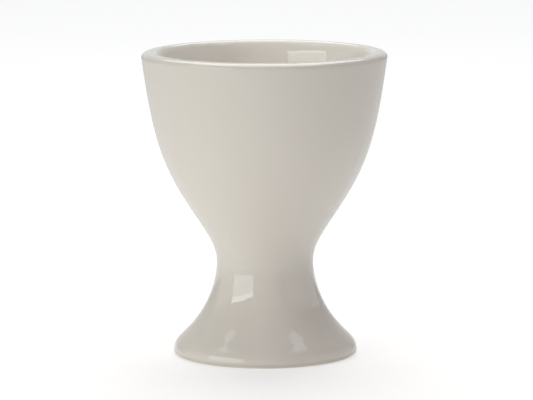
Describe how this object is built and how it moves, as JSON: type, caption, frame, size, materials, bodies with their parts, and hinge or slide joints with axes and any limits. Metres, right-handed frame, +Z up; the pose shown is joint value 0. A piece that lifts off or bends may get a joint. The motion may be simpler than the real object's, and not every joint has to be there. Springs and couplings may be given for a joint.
{
  "type": "egg cup",
  "caption": "Footed egg cup: a deep round bowl on a waisted, flared hollow foot, glazed all over except for the ring it stands on.",
  "frame": {"origin": "centre of the plane the cup stands on", "axes": "+Z up along the axis of revolution, towards the rim; X and Y are free, because the cup is round"},
  "size_m": [0.052, 0.052, 0.0645],
  "materials": {
    "glaze": "gloss",
    "porcelain": "matte"
  },
  "bodies": {
    "root": {"bowl": "porcelain", "foot": "porcelain", "slip_seam": "porcelain", "outer_glaze": "glaze", "bowl_glaze": "glaze", "foot_glaze": "glaze"}
  },
  "joints": []
}
